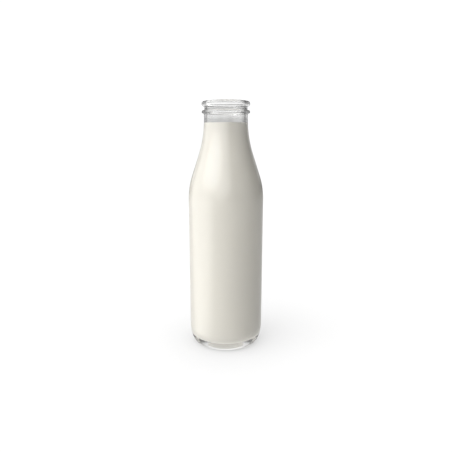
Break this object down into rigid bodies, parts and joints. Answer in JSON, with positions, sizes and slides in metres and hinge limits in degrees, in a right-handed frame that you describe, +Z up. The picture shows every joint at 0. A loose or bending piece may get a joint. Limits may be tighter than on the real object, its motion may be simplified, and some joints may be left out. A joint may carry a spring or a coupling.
{
  "type": "glass milk bottle",
  "caption": "Clear glass milk bottle with a straight body, long sloping shoulder, beaded neck and rolled lip, open at the top and filled with milk up to the neck.",
  "frame": {"origin": "middle of the flat foot ring that the bottle stands on", "axes": "+Z up along the bottle's axis, from the foot to the mouth; +X and +Y are any two directions across it"},
  "size_m": [0.085, 0.085, 0.2763],
  "materials": {
    "clear_glass": "gloss",
    "milk": "satin"
  },
  "bodies": {
    "root": {"glass_bottle": "clear_glass", "milk": "milk"}
  },
  "joints": []
}
